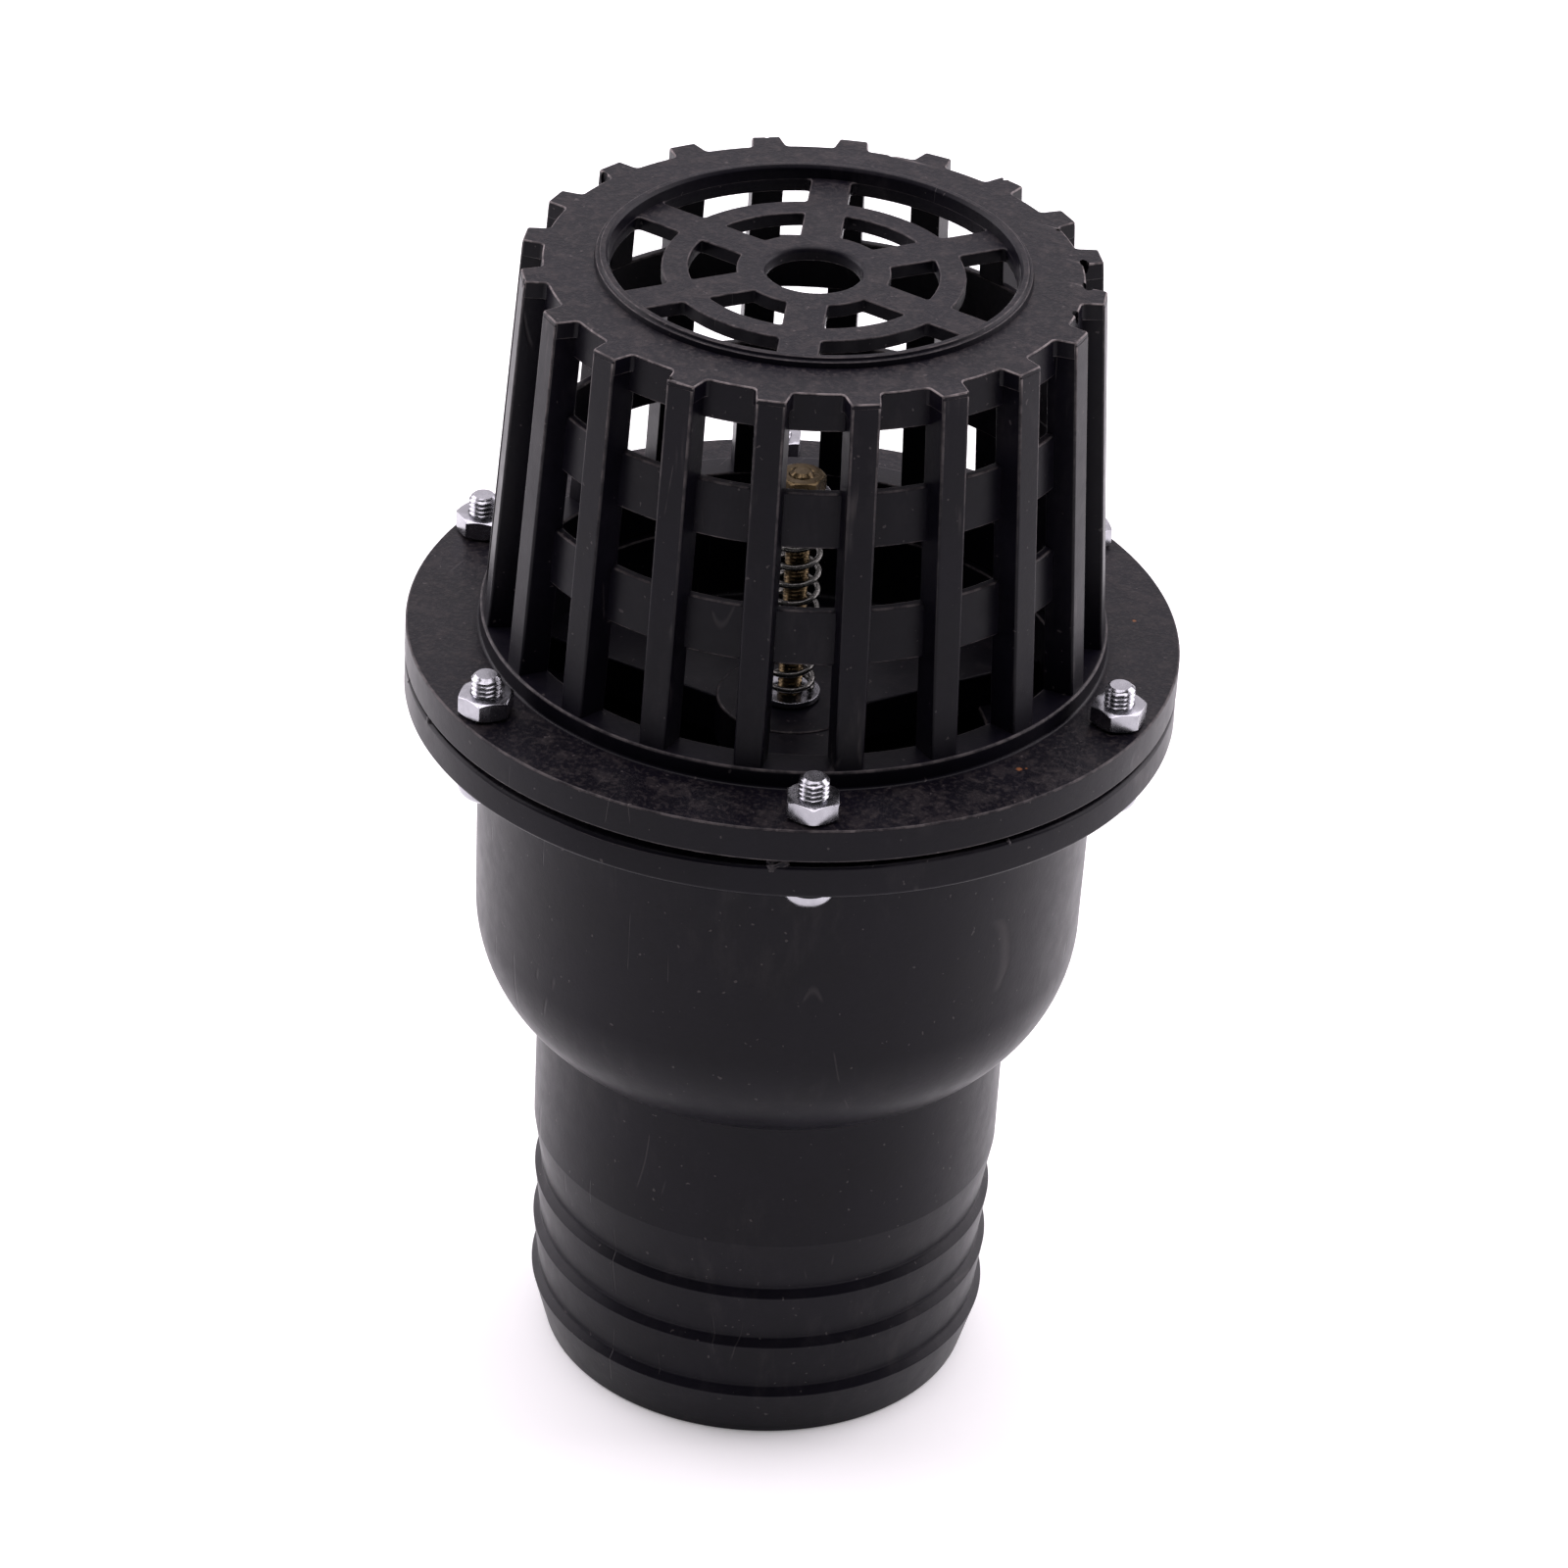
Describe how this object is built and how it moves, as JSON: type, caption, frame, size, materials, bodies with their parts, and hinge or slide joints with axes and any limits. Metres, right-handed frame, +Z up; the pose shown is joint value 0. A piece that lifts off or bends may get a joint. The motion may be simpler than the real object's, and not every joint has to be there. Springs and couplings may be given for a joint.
{
  "type": "foot valve",
  "caption": "Plastic foot valve: barbed hose tail, bell-shaped chamber, bolted flanges and a slotted strainer basket around a spring-closed check disc.",
  "frame": {"origin": "middle of the hose end, which the valve stands on", "axes": "+Z up the valve's axis, from the hose end to the strainer's end plate; +X through one flange bolt and one rib"},
  "size_m": [0.126, 0.126, 0.2041],
  "materials": {
    "black_plastic": "satin moulded, lightly scuffed",
    "bright_zinc": "bright zinc plate",
    "yellow_zinc": "yellow zinc plate",
    "spring_steel": "zinc-plated wire",
    "black_rubber": "matt"
  },
  "bodies": {
    "housing": {"valve_body": "black_plastic", "strainer_basket": "black_plastic", "valve_seat": "black_plastic", "seat_gasket": "black_rubber", "spring_seat_washer": "bright_zinc", "closing_spring": "spring_steel", "flange_bolt_1": "bright_zinc", "flange_bolt_2": "bright_zinc", "flange_bolt_3": "bright_zinc", "flange_bolt_4": "bright_zinc", "flange_bolt_5": "bright_zinc", "flange_bolt_6": "bright_zinc", "flange_nut_1": "bright_zinc", "flange_nut_2": "bright_zinc", "flange_nut_3": "bright_zinc", "flange_nut_4": "bright_zinc", "flange_nut_5": "bright_zinc", "flange_nut_6": "bright_zinc"},
    "check_valve": {"valve_stem": "yellow_zinc", "valve_disc": "black_plastic", "disc_seal": "black_rubber", "disc_backing_washer": "bright_zinc", "seal_clamp_washer": "bright_zinc", "stem_jam_nut": "bright_zinc", "spring_cap_washer": "bright_zinc", "stem_end_nut": "yellow_zinc"}
  },
  "joints": [
    {"name": "valve_lift", "type": "slide", "parent": "housing", "child": "check_valve", "axis": [0, 0, -1], "range_m": [0, 0.014], "stiffness_N_per_m": 160, "springref_m": -0.015, "deforming": ["closing_spring"]}
  ]
}
